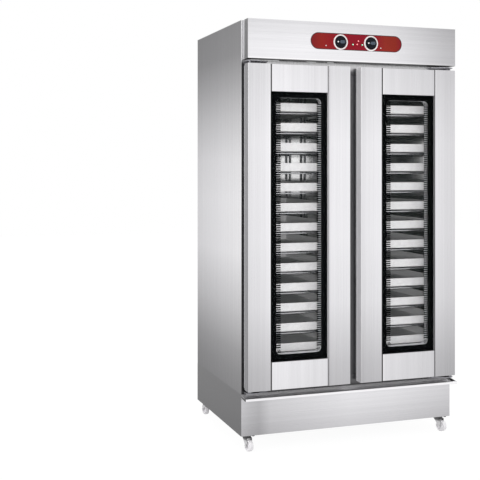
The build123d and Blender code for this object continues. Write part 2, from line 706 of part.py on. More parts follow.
def castor_bolt_places():
    """Places of the four bolts of every castor plate."""
    places = []
    for _, x, y, _ in castor_places():
        for dx in (-CASTOR_BOLT_OUT, CASTOR_BOLT_OUT):
            for dy in (-CASTOR_BOLT_OUT, CASTOR_BOLT_OUT):
                places.append((x + dx, y + dy))
    return places


def castor_holes():
    """Holes of the castor bolts through the castor plates and the base floor."""
    return group(*[prism(x, y, BASE_LOW - 5, CASTOR_BOLT_R, 12) for x, y in castor_bolt_places()])


def castor_bolts():
    """Hexagon bolts from below, screwed into the tapped floor frame."""
    under = BASE_LOW - CASTOR_PLATE
    bolts = []
    for x, y in castor_bolt_places():
        shank = prism(x, y, under, CASTOR_BOLT_R, CASTOR_PLATE + FLOOR_PLATE + 3)
        bolts.append(shank + prism(x, y, under - 4, CASTOR_BOLT_R + 2, 4))
    return group(*bolts)


def castor_plates():
    """Top plates with their swivel cups and king pins."""
    pieces = []
    for _, x, y, _ in castor_places():
        low = BASE_LOW - CASTOR_PLATE
        outline = chamfer(Rectangle(58, 58).vertices(), 5)
        plate = Pos(x, y, low) * extrude(outline, amount=CASTOR_PLATE)
        plate += prism(x, y, 60, 19, low - 60, sides=12)
        plate += pin(x, y, FORK_CROWN - 3, KINGPIN_R, 10)
        plate += prism(x, y, FORK_CROWN - 3, 7, 2.7, sides=8)
        pieces.append(plate - castor_holes())
    return group(*pieces)


def castor_fork(x, y, turn):
    """Pressed fork with its lower race, and the axle that is riveted into its legs."""
    half = LEG_IN + FORK_SHEET
    top = FORK_CROWN + FORK_SHEET
    fork = slab(-16, 20, -half, half, FORK_CROWN, top) + prism(0, 0, FORK_CROWN, 17.5, 5, sides=12)
    leg = make_face(Polyline(
        (-16, top), (20, top), (TRAIL + 8, WHEEL_R), (TRAIL + 4, WHEEL_R - 7), (TRAIL - 4, WHEEL_R - 7),
        (TRAIL - 8, WHEEL_R), close=True,
    ))
    for side in (-half, LEG_IN):
        fork += along_y(leg, side, side + FORK_SHEET)
    fork -= rod(0, 0, FORK_CROWN - 1, KINGPIN_R + RUNNING, 8)
    fork += pin(TRAIL, -LEG_IN - 1, WHEEL_R, AXLE_R, 2 * LEG_IN + 2, "Y")
    for side in (-half - 3, half):
        fork += prism(TRAIL, side, WHEEL_R, 5, 3, "Y")
    return Pos(x, y, 0) * Rot(0, 0, turn) * fork


def castor_wheel(x, y, turn):
    """Plastic wheel, bored for its axle; it stands on a flat of its rim."""
    half = WHEEL_WIDTH / 2
    wheel = prism(TRAIL, -half, WHEEL_R, WHEEL_R, WHEEL_WIDTH, "Y", WHEEL_SIDES)
    wheel -= rod(TRAIL, -half - 1, WHEEL_R, AXLE_R + RUNNING, WHEEL_WIDTH + 2, "Y")
    return Pos(x, y, 0) * Rot(0, 0, turn) * wheel


# ------------------------------------------------------------------ nodes
def build():
    """All nodes by name."""
    nodes = {
        "side_panels": group(side_panel(), mirrored(side_panel())),
        "back_panel": back_panel(),
        "roof_panel": roof_panel(),
        "base_box": base_box(),
        "base_floor": base_floor(),
        "deck": deck(),
        "insulation": insulation(),
        "chamber_liner": chamber_liner(),
        "chamber_floor": chamber_floor(),
        "frame_rails": frame_rails(),
        "centre_post": centre_post(),
        "header_frame": header_frame(),
        "header": header(),
        "control_overlay": control_overlay(),
        "knob_bezels": group(*[bezel(x) for x in KNOB_X]),
        "green_lamps": lamps(GREEN_LAMPS),
        "red_lamps": lamps(RED_LAMPS),
        "thermostats": group(*[thermostat(x) for x in KNOB_X]),
        "temperature_knob": knob(KNOB_X[0]),
        "humidity_knob": knob(KNOB_X[1]),
        "electrics_shelf": electrics_shelf(),
        "terminal_block": terminal_block(),
        "cable_gland": cable_gland(),
        "fan_motor": fan_motor(),
        "fan_impeller": fan_impeller(),
        "fan_guard": fan_guard(),
        "air_heater": air_heater(),
        "water_pan": water_pan(),
        "humidity_heater": humidity_heater(),
        "drip_gutter": drip_gutter(),
        "hinge_brackets": hinge_brackets(),
        "bracket_bolts": bracket_bolts(),
        "castor_plates": castor_plates(),
        "castor_bolts": castor_bolts(),
    }
    bay_rack, bay_trays = rack(), trays()
    for side, place in (("left", group), ("right", lambda solid: group(mirrored(solid)))):
        nodes[side + "_rack"] = place(bay_rack)
        nodes[side + "_trays"] = place(bay_trays)
        nodes[side + "_door_stiles"] = place(door_stiles())
        nodes[side + "_door_panels"] = place(door_panels())
        nodes[side + "_door_glass"] = place(door_glass())
        nodes[side + "_door_spacer"] = place(door_spacer())
        nodes[side + "_door_inner_pan"] = place(door_inner_pan())
        nodes[side + "_door_gasket"] = place(door_gasket())
        nodes[side + "_door_pivots"] = place(door_pivots())
    for name, x, y, turn in castor_places():
        nodes["castor_fork_" + name] = castor_fork(x, y, turn)
        nodes["castor_wheel_" + name] = castor_wheel(x, y, turn)
    return nodes


os.makedirs("parts", exist_ok=True)
for node, solid in build().items():
    export_step(solid, os.path.join("parts", node + ".step"))
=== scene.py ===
import math

import bmesh
import bpy
import numpy as np
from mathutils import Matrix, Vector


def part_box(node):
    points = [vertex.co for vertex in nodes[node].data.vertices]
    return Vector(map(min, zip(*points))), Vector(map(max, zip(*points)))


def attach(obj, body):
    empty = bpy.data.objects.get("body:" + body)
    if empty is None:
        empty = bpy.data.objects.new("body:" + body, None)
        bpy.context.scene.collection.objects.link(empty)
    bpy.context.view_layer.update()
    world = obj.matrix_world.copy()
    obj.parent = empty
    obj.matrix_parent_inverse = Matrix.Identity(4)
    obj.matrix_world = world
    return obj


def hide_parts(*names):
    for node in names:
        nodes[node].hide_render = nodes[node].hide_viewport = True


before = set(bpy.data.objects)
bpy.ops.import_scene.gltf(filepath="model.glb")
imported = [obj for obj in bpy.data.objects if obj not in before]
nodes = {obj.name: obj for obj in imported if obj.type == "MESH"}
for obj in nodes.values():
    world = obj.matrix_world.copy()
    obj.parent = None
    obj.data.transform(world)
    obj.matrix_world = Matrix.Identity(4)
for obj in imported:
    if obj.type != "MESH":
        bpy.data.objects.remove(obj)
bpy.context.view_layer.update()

# ---------------------------------------------------------------- studio
# The cabinet stands on a white studio floor in front of a white surround, which steel and glass
# mirror. A large soft lamp high in front, left of where the steel mirrors it, and a weaker one on
# each side light it evenly, and a spot reaches through the windows to the trays.
EYE = (-1.747, -3.9355, 1.203)
EYE_TURN = math.radians(18.85)
LENS = 68.92                      # millimetres
SENSOR = 36                       # millimetres
FRAME_DROP = -0.1538              # the frame is lowered by this share of its width

eye = bpy.data.cameras.new("eye")
eye.lens = LENS
eye.sensor_width = SENSOR
eye.shift_y = FRAME_DROP
eye_object = bpy.data.objects.new("eye", eye)
eye_object.location = EYE
eye_object.rotation_euler = (math.radians(90), 0, -EYE_TURN)
bpy.context.scene.collection.objects.link(eye_object)
bpy.context.scene.camera = eye_object
bpy.context.scene.view_settings.view_transform = "Standard"

WHITE = (1, 1, 1, 1)
AMBIENT = 0.80                    # what the surround adds to matt surfaces


def seen_directly(tree):
    """Factor socket: 1 for rays from the camera, a mirror or glass, and 0 for scattered light."""
    ray = tree.nodes.new("ShaderNodeLightPath")
    factor = ray.outputs["Is Camera Ray"]
    for kind in ("Is Glossy Ray", "Is Transmission Ray"):
        larger = tree.nodes.new("ShaderNodeMath")
        larger.operation = "MAXIMUM"
        tree.links.new(factor, larger.inputs[0])
        tree.links.new(ray.outputs[kind], larger.inputs[1])
        factor = larger.outputs[0]
    return factor


surround = bpy.data.worlds.new("surround")
bpy.context.scene.world = surround
surround.use_nodes = True
tree = surround.node_tree
tree.nodes.clear()
shown = tree.nodes.new("ShaderNodeBackground")
shown.inputs["Color"].default_value = WHITE
shown.inputs["Strength"].default_value = 1.0
felt = tree.nodes.new("ShaderNodeBackground")
felt.inputs["Color"].default_value = WHITE
felt.inputs["Strength"].default_value = AMBIENT
choice = tree.nodes.new("ShaderNodeMixShader")
sky = tree.nodes.new("ShaderNodeOutputWorld")
tree.links.new(seen_directly(tree), choice.inputs["Fac"])
tree.links.new(felt.outputs[0], choice.inputs[1])
tree.links.new(shown.outputs[0], choice.inputs[2])
tree.links.new(choice.outputs[0], sky.inputs["Surface"])

SPOT_EDGE = 0.2                   # soft share of a spot's cone


def soft_lamp(name, place, aim, size, power, cone=None):
    """Square area lamp at place whose -Z axis points at aim, or a spot with a cone in degrees."""
    lamp = bpy.data.lights.new(name, "SPOT" if cone else "AREA")
    lamp.energy = power
    if cone:
        lamp.shadow_soft_size = size / 2
        lamp.spot_size = math.radians(cone)
        lamp.spot_blend = SPOT_EDGE
    else:
        lamp.size = size
    thing = bpy.data.objects.new(name, lamp)
    forward = np.array(aim, float) - np.array(place, float)
    forward /= np.linalg.norm(forward)
    turn = math.atan2(forward[0], forward[1])
    tilt = math.asin(forward[2])
    thing.location = place
    thing.rotation_euler = (math.radians(90) + tilt, 0, -turn)
    bpy.context.scene.collection.objects.link(thing)
    return thing


FRONT_POWER, SIDE_POWER, SPOT_POWER = 40, 13, 300     # watts
SPOT_CONE = 21.5                  # takes in both windows, and not the controls above them
soft_lamp("front_lamp", (-1.9, -3.6, 2.9), (0.0, -0.2, 0.9), 2.4, FRONT_POWER)
soft_lamp("left_lamp", (-3.4, -1.0, 2.0), (-0.4, 0.0, 0.9), 2.0, SIDE_POWER)
soft_lamp("right_lamp", (3.4, -0.6, 2.0), (0.4, 0.0, 0.9), 2.0, SIDE_POWER)
window_spot = soft_lamp(
    "window_spot", (-1.65, -3.9, 1.15), (0.03, -0.3, 0.93), 0.3, SPOT_POWER, cone=SPOT_CONE
)
window_spot.visible_glossy = False          # the steel doesn't mirror it


def placed(mesh):
    """New object in the scene for a mesh, with the mesh's name."""
    thing = bpy.data.objects.new(mesh.name, mesh)
    bpy.context.scene.collection.objects.link(thing)
    return thing


def grid_mesh(name, points, closed_u=False, closed_v=False, smooth=True):
    """Mesh object from points[i, j] = (x, y, z), with a quad between neighbours in i and j.

    Quads run from i to i + 1 along u and from j to j + 1 along v, and wrap where closed.
    """
    rows, columns = points.shape[:2]
    i = np.arange(rows if closed_u else rows - 1)
    j = np.arange(columns if closed_v else columns - 1)
    i, j = np.meshgrid(i, j, indexing="ij")
    after_i, after_j = (i + 1) % rows, (j + 1) % columns
    row, after_row = i * columns, after_i * columns
    corners = [row + j, after_row + j, after_row + after_j, row + after_j]
    quads = np.stack(corners, axis=-1).reshape(-1, 4)
    mesh = bpy.data.meshes.new(name)
    mesh.from_pydata(points.reshape(-1, 3).tolist(), [], quads.tolist())
    mesh.polygons.foreach_set("use_smooth", np.full(len(quads), smooth))
    mesh.update()
    return placed(mesh)


FLOOR_REACH = 12.0
FLOOR_GREY = (0.86, 0.86, 0.86, 1)
FLOOR_GLOW = 1.05                 # strength of the white that the camera sees it in
FLOOR_WHITENESS = 0.90            # share of that white, against the lit grey
span = np.array([-FLOOR_REACH, FLOOR_REACH])
flat = np.zeros((2, 2, 3))
flat[..., 0], flat[..., 1] = np.meshgrid(span, span, indexing="ij")
studio_floor = grid_mesh("studio_floor", flat, smooth=False)
floor_paint = bpy.data.materials.new("floor_paint")
floor_paint.use_nodes = True
tree = floor_paint.node_tree
tree.nodes.clear()
paint = tree.nodes.new("ShaderNodeBsdfDiffuse")
paint.inputs["Color"].default_value = FLOOR_GREY
glow = tree.nodes.new("ShaderNodeEmission")
glow.inputs["Color"].default_value = WHITE
glow.inputs["Strength"].default_value = FLOOR_GLOW
share = tree.nodes.new("ShaderNodeMath")
share.operation = "MULTIPLY"
share.inputs[1].default_value = FLOOR_WHITENESS
choice = tree.nodes.new("ShaderNodeMixShader")
surface = tree.nodes.new("ShaderNodeOutputMaterial")
tree.links.new(seen_directly(tree), share.inputs[0])
tree.links.new(share.outputs[0], choice.inputs["Fac"])
tree.links.new(paint.outputs[0], choice.inputs[1])
tree.links.new(glow.outputs[0], choice.inputs[2])
tree.links.new(choice.outputs[0], surface.inputs["Surface"])
studio_floor.data.materials.append(floor_paint)

# ---------------------------------------------------------------- outer body
# Side panels, back, roof, base box and sealing face are folded from brushed stainless sheet.
# The rolling grain runs upright on the walls, and a painted reflection makes the sheet
# brightest at half height.
NOISE_LOW, NOISE_HIGH = 0.3, 0.7            # noise below and above these is at its limits
TURN_LOW, TURN_HIGH = 0.35, 0.85            # between these a face turns from one tone to the next
FINE_TONES, BROAD_TONES = (0.955, 1.035), (0.965, 1.03)
BROAD_SCALE = 0.06                          # broad streaks against the fine grain
GRAIN_UPRIGHT, GRAIN_ACROSS = (900, 900, 2.2), (2.2, 900, 900)     # cycles a metre along x, y, z


def linear(level):
    """Linear light of an sRGB level from 0 to 255."""
    share = level / 255
    return share / 12.92 if share <= 0.04045 else ((share + 0.055) / 1.055) ** 2.4


def along(tree, coordinate, stops):
    """Colour socket that follows one coordinate socket through (metres, level) stops.

    A plain level is a faintly cool grey.
    """
    low, high = stops[0][0], stops[-1][0]
    reach = tree.nodes.new("ShaderNodeMapRange")
    reach.inputs["From Min"].default_value = low
    reach.inputs["From Max"].default_value = high
    tree.links.new(coordinate, reach.inputs["Value"])
    ramp = tree.nodes.new("ShaderNodeValToRGB")
    elements = ramp.color_ramp.elements
    while len(elements) < len(stops):
        elements.new(0.5)
    for element, (place, level) in zip(elements, stops):
        element.position = (place - low) / (high - low)
        shades = level if isinstance(level, tuple) else (level, level - 0.5, min(level + 1, 255))
        shade = [linear(v) for v in shades]
        element.color = (*shade, 1)
    tree.links.new(reach.outputs[0], ramp.inputs["Fac"])
    return ramp.outputs["Color"]


def blank(name):
    """New material with its node tree, its shader and its texture coordinates."""
    material = bpy.data.materials.new(name)
    material.use_nodes = True
    tree = material.node_tree
    where = tree.nodes.new("ShaderNodeTexCoord")
    return material, tree, tree.nodes["Principled BSDF"], where


def blended(tree, share, first, second, mode="MIX"):
    """Colour socket that mixes two colour sockets, or multiplies them; share may be a number."""
    mix = tree.nodes.new("ShaderNodeMix")
    mix.data_type = "RGBA"
    mix.blend_type = mode
    if isinstance(share, float):
        mix.inputs["Factor"].default_value = share
    else:
        tree.links.new(share, mix.inputs["Factor"])
    tree.links.new(first, mix.inputs["A"])
    tree.links.new(second, mix.inputs["B"])
    return mix.outputs["Result"]


def streaks(tree, place, scale, low, high):
    """Grey socket of stretched noise between two levels; scale is cycles a metre along x, y, z."""
    spread = tree.nodes.new("ShaderNodeMapping")
    spread.inputs["Scale"].default_value = scale
    tree.links.new(place, spread.inputs["Vector"])
    noise = tree.nodes.new("ShaderNodeTexNoise")
    noise.inputs["Scale"].default_value = 1.0
    noise.inputs["Detail"].default_value = 3.0
    tree.links.new(spread.outputs[0], noise.inputs["Vector"])
    reach = tree.nodes.new("ShaderNodeMapRange")
    reach.inputs["From Min"].default_value = NOISE_LOW
    reach.inputs["From Max"].default_value = NOISE_HIGH
    reach.inputs["To Min"].default_value = low
    reach.inputs["To Max"].default_value = high
    tree.links.new(noise.outputs["Fac"], reach.inputs["Value"])
    return reach.outputs[0]


def times(tree, first, second):
    """Colour socket that multiplies two sockets."""
    return blended(tree, 1.0, first, second, "MULTIPLY")


def rippled(tree, shader, height, strength, distance):
    """Gives a shader a slight bump that follows a height socket."""
    bump = tree.nodes.new("ShaderNodeBump")
    bump.inputs["Strength"].default_value = strength
    bump.inputs["Distance"].default_value = distance
    tree.links.new(height, bump.inputs["Height"])
    tree.links.new(bump.outputs[0], shader.inputs["Normal"])


def sheet_steel(
    name, front, side=None, across=None, behind=None, over=None, deep=None, beside=None,
    roughness=0.3, grain=GRAIN_UPRIGHT, satin=0.0,
):
    """Brushed sheet steel, whose tone stops paint in its reflections, highlights and shade.

    front, side and over are (z, level) stops for faces that look along Y, along X and up or down.
    across holds (x, level) and behind (y, level) stops that front is multiplied by. deep holds
    (y, level) and beside (x, level) stops that side is multiplied by. satin is how much less the
    faces along X mirror.
    """
    steel, tree, shader, where = blank(name)
    shader.inputs["Metallic"].default_value = 1.0
    shader.inputs["Anisotropic"].default_value = 0.35
    shader.inputs["Specular Tint"].default_value = (0.75, 0.75, 0.75, 1)
    split = tree.nodes.new("ShaderNodeSeparateXYZ")
    tree.links.new(where.outputs["Object"], split.inputs[0])
    facing = tree.nodes.new("ShaderNodeSeparateXYZ")
    tree.links.new(where.outputs["Normal"], facing.inputs[0])
    colour = along(tree, split.outputs["Z"], front)
    for stops, axis in ((across, "X"), (behind, "Y")):
        if stops:
            colour = times(tree, colour, along(tree, split.outputs[axis], stops))
    for stops, axis in ((side, "X"), (over, "Z")):
        if stops:
            size = tree.nodes.new("ShaderNodeMath")
            size.operation = "ABSOLUTE"
            tree.links.new(facing.outputs[axis], size.inputs[0])
            share = tree.nodes.new("ShaderNodeMapRange")
            share.inputs["From Min"].default_value = TURN_LOW
            share.inputs["From Max"].default_value = TURN_HIGH
            tree.links.new(size.outputs[0], share.inputs["Value"])
            tone = along(tree, split.outputs["Z"], stops)
            if deep and axis == "X":
                tone = times(tree, tone, along(tree, split.outputs["Y"], deep))
            if beside and axis == "X":
                tone = times(tree, tone, along(tree, split.outputs["X"], beside))
            colour = blended(tree, share.outputs[0], colour, tone)
            if satin and axis == "X":
                gloss = tree.nodes.new("ShaderNodeMapRange")
                gloss.inputs["To Min"].default_value = 1.0
                gloss.inputs["To Max"].default_value = 1.0 - satin
                tree.links.new(share.outputs[0], gloss.inputs["Value"])
                tree.links.new(gloss.outputs[0], shader.inputs["Metallic"])
    fine = streaks(tree, where.outputs["Object"], grain, *FINE_TONES)
    broad_grain = tuple(g * BROAD_SCALE for g in grain)
    broad = streaks(tree, where.outputs["Object"], broad_grain, *BROAD_TONES)
    tree.links.new(times(tree, times(tree, colour, fine), broad), shader.inputs["Base Color"])
    rough = streaks(tree, where.outputs["Object"], grain, roughness - 0.04, roughness + 0.05)
    tree.links.new(rough, shader.inputs["Roughness"])
    rippled(tree, shader, fine, strength=0.04, distance=0.0004)
    return steel


def finish(node, material):
    """Gives a CAD node one material."""
    slots = nodes[node].material_slots
    if not slots:
        nodes[node].data.materials.append(material)
    for slot in slots:
        slot.material = material


DECK_Z = 0.247
ROOF_Z = 1.815
SEAL_SHADE = 66                   # the sealing face lies in the shade of the doors
# Painted light: the side tones are a painted reflection, brightest at half height, deep paints the
# walls darker towards the back, and SEAL_SHADE is painted shade.
wall_steel = sheet_steel(
    "wall_steel",
    front=((DECK_Z, SEAL_SHADE), (1.635, SEAL_SHADE), (1.652, 200), (ROOF_Z, 200)),
    side=(
        (DECK_Z, 133), (0.33, 144), (0.42, 162), (0.60, 209), (0.83, 245), (1.05, 248),
        (1.23, 240), (1.41, 211), (1.55, 179), (1.68, 146), (ROOF_Z, 138),
    ),
    deep=((-0.298, 255), (0.0, 246), (0.357, 231)),
)
# Painted light: the front is painted darker towards the floor, with a painted shadow line under
# the gutter lip, the sides are painted shade, and across paints reflection streaks.
base_steel = sheet_steel(
    "base_steel",
    front=((0.07, 205), (0.14, 222), (0.2, 232), (0.221, 232), (0.2265, 196), (0.235, 192)),
    side=((0.07, 108), (0.16, 114), (DECK_Z, 118)),
    across=(
        (-0.5, 224), (-0.46, 212), (-0.42, 204), (-0.37, 230), (-0.2, 242), (0.0, 254),
        (0.2, 250), (0.5, 232),
    ),
    grain=GRAIN_ACROSS,
)
plain_steel = sheet_steel("plain_steel", front=((0.0, 196), (ROOF_Z, 204)), roughness=0.34)
# Painted light: the faces are painted dark where the doors shade them, below the header, and the
# faces that look up or down are painted shade.
frame_steel = sheet_steel(
    "frame_steel",
    front=((DECK_Z, 96), (0.3, 100), (1.612, 100), (1.628, 205), (1.65, 240), (ROOF_Z, 240)),
    side=((DECK_Z, 110), (1.6, 110), (1.652, 186), (ROOF_Z, 190)),
    over=((0, 90), (2, 60)),
)
finish("side_panels", wall_steel)
finish("back_panel", plain_steel)
finish("roof_panel", plain_steel)
finish("base_box", base_steel)
finish("frame_rails", frame_steel)
finish("centre_post", frame_steel)
for node in ("base_floor", "deck", "electrics_shelf"):
    finish(node, plain_steel)

# ---------------------------------------------------------------- header
# The header is a folded box of the same brushed sheet, with its grain across, and it carries the
# controls. It is hung in front of the body on a narrow frame.
# Painted light: a painted highlight along the lower folded edge, a front painted darker towards
# the roof and the right end, painted shade on the sides and a near-black painted shadow on the
# underside.
header_steel = sheet_steel(
    "header_steel",
    front=((1.65, 255), (1.6545, 255), (1.657, 243), (1.72, 240), (1.78, 233), (ROOF_Z, 226)),
    side=((1.65, 120), (ROOF_Z, 132)),
    over=((1.649, 26), (1.66, 40), (1.8, 225)),
    across=(
        (-0.5, 246), (-0.4, 250), (-0.25, 254), (0.0, 250), (0.18, 244), (0.32, 226),
        (0.44, 206), (0.5, 200),
    ),
    grain=GRAIN_ACROSS,
)
finish("header", header_steel)
finish("header_frame", frame_steel)

# ---------------------------------------------------------------- doors
# Each door is a skin of two upright stiles and two panels, bent from brushed sheet, with a
# light moulded inner pan and a light grey rubber gasket behind it. The grain runs upright.
# Painted light: the front is painted darker towards the floor, painted highlights run along the
# folded edges and painted shadow lies in the seams, the sides are painted bright and painted
# darker towards the front edge and on the outer sides, and down-facing faces are painted shade;
# satin lets the sides show that painted tone.
door_steel = sheet_steel(
    "door_steel",
    front=(
        (0.269, 196), (0.36, 204), (0.62, 236), (0.9, 246), (1.3, 247), (1.48, 238), (1.6, 230),
    ),
    side=((0.269, 248), (0.9, 254), (1.63, 255)),
    across=(
        (-0.491, 238), (-0.42, 246), (-0.3945, 250), (-0.3935, 255), (-0.3902, 255),
        (-0.3892, 130), (-0.1268, 130), (-0.1258, 235), (-0.12, 246), (-0.031, 250),
        (-0.0295, 255), (-0.025, 255), (0.025, 250), (0.029, 240), (0.08, 246), (0.12, 250),
        (0.1248, 252), (0.1258, 252), (0.1268, 130), (0.3892, 130), (0.3902, 244), (0.394, 244),
        (0.395, 236), (0.491, 226),
    ),
    over=((0, 140), (2, 225)),
    deep=((-0.3575, 190), (-0.352, 212), (-0.335, 236), (-0.318, 255)),
    beside=((-0.4, 150), (-0.3, 255), (0.3, 255), (0.4, 150)),
    satin=0.75,
)
# Painted light: dark painted shadow lines run along the seams with the stiles, with painted
# highlights on the folded edges beside them, and the sides and down-facing faces are painted
# shade.
panel_steel = sheet_steel(
    "panel_steel",
    front=((0.269, 236), (0.385, 240), (1.51, 246), (1.63, 240)),
    side=((0.269, 112), (1.63, 128)),
    over=((0, 140), (2, 225)),
    across=(
        (-0.3858, 130), (-0.3848, 255), (-0.380, 255), (-0.379, 252), (-0.136, 240),
        (-0.1312, 240), (-0.1302, 130), (0.1302, 130), (0.1312, 255), (0.136, 255),
        (0.137, 240), (0.379, 223), (0.3848, 223), (0.3858, 130),
    ),
)
for side in ("left", "right"):
    finish(side + "_door_stiles", door_steel)
    finish(side + "_door_panels", panel_steel)


def tinted(tree, colour, light):
    """Colour socket of one linear colour that a light socket lightens and darkens."""
    tint = tree.nodes.new("ShaderNodeRGB")
    tint.outputs[0].default_value = (*colour, 1)
    return times(tree, tint.outputs[0], light)


def shader_of(material):
    """The shader of a material, whose inputs are its settings."""
    return material.node_tree.nodes["Principled BSDF"]


MOTTLE_GRAIN, DULL_GRAIN = (700, 700, 700), (420, 420, 420)        # cycles a metre along x, y, z


def moulded(name, colour, roughness=0.45, speckle=0.06, coat=0.0):
    """Moulded plastic or rubber: one sRGB colour with fine mottling and a faint grain."""
    plastic, tree, shader, where = blank(name)
    place = where.outputs["Object"]
    shader.inputs["Coat Weight"].default_value = coat
    mottle = streaks(tree, place, MOTTLE_GRAIN, 1 - speckle, 1 + speckle)
    shade = tinted(tree, [linear(v) for v in colour], mottle)
    tree.links.new(shade, shader.inputs["Base Color"])
    rough = streaks(tree, place, DULL_GRAIN, roughness - 0.05, roughness + 0.05)
    tree.links.new(rough, shader.inputs["Roughness"])
    rippled(tree, shader, mottle, strength=0.05, distance=0.0003)
    return plastic


pan_plastic = moulded("pan_plastic", (196, 197, 200), roughness=0.4, speckle=0.02)
gasket_rubber = moulded("gasket_rubber", (196, 197, 200), roughness=0.6)
border_black = moulded("border_black", (4, 4, 5), roughness=0.5)
shader_of(border_black).inputs["Specular IOR Level"].default_value = 0.0
for side in ("left", "right"):
    finish(side + "_door_inner_pan", pan_plastic)
    finish(side + "_door_gasket", gasket_rubber)
    finish(side + "_door_spacer", border_black)

GLASS_GREEN = (0.20, 0.24, 0.23)  # linear
GLASS_FILM = (9, 9, 3)            # cycles a metre along x, y, z
clear_glass, tree, shader, where = blank("clear_glass")
film = streaks(tree, where.outputs["Object"], GLASS_FILM, low=0.97, high=1.0)
tree.links.new(tinted(tree, GLASS_GREEN, film), shader.inputs["Base Color"])
shader.inputs["Roughness"].default_value = 0.03
shader.inputs["Specular IOR Level"].default_value = 0.05
shader.inputs["Alpha"].default_value = 0.01
for side in ("left", "right"):
    finish(side + "_door_glass", clear_glass)

# ---------------------------------------------------------------- printed border of the glass
# The outer pane has a black enamel border on its back, with a round-cornered window, and a comb
# of short black bars down both sides of the window that turns into dotted arcs at its corners.
# A narrow black bar between the panes holds them apart.
PRINT = 0.0003                    # enamel thickness
OUTER_PANE = 0.004                # thickness
PANE_CORNER = 0.001
SPACER_BAR = 0.009                # width of the bar that holds the two panes apart
SPACER_CORNER = 0.004
COMB_PITCH = 0.0093
COMB_BAR = 0.0054
COMB_LENGTH = 0.020
CORNER = 0.020
DOT_ARCS = ((0.0065, 3), (0.0125, 5))       # (radius, dots) in each corner of the window
DOT_LENGTH, DOT_HEIGHT = 0.0042, 0.0030
DOT_MARGIN = 0.12                 # angle between an arc's ends and its outer dots
MARGIN_LEFT, MARGIN_RIGHT, MARGIN_TOP, MARGIN_LOW = 0.029, 0.0278, 0.0245, 0.0275
ARC_STEPS = 9


def rounded_loop(x0, x1, z0, z1, radius):
    """Points round a rectangle with corner arcs of that radius, in the XZ plane, anticlockwise."""
    turn = np.linspace(0, math.pi / 2, ARC_STEPS)
    corners = (
        (x1 - radius, z1 - radius, 0), (x0 + radius, z1 - radius, 1),
        (x0 + radius, z0 + radius, 2), (x1 - radius, z0 + radius, 3),
    )
    parts = []
    for x, z, quarter in corners:
        angle = turn + quarter * math.pi / 2
        parts.append(np.stack([x + radius * np.cos(angle), z + radius * np.sin(angle)], axis=-1))
    return np.concatenate(parts)


def flat_ring(name, inner, outer, front, rear):
    """Ring between an inner and an outer loop in the XZ plane, from y = front to y = rear."""
    ring = np.zeros((len(inner), 4, 3))
    ring[:, 0, 0::2], ring[:, 1, 0::2] = inner, outer
    ring[:, 2, 0::2], ring[:, 3, 0::2] = outer, inner
    ring[:, :2, 1], ring[:, 2:, 1] = front, rear
    return grid_mesh(name, ring, closed_u=True, closed_v=True, smooth=False)


def bars(centres, lengths, heights, turns, front, thick):
    """Little flat boxes in the XZ plane: eight corners each, worked out for all boxes at once."""
    count = len(centres)
    signs = np.array([(sx, sy, sz) for sx in (-1, 1) for sy in (0, 1) for sz in (-1, 1)], float)
    along_bar = signs[None, :, 0] * lengths[:, None] / 2
    up_bar = signs[None, :, 2] * heights[:, None] / 2
    cosine, sine = np.cos(turns)[:, None], np.sin(turns)[:, None]
    x = centres[:, 0, None] + along_bar * cosine - up_bar * sine
    z = centres[:, 1, None] + along_bar * sine + up_bar * cosine
    y = front + np.broadcast_to(signs[None, :, 1] * thick, (count, 8))
    points = np.stack([x, y, z], axis=-1).reshape(-1, 3)
    faces = np.array([
        (0, 1, 3, 2), (4, 6, 7, 5), (0, 4, 5, 1), (2, 3, 7, 6), (0, 2, 6, 4), (1, 5, 7, 3),
    ])
    faces = (faces[None] + 8 * np.arange(count)[:, None, None]).reshape(-1, 4)
    return points, faces


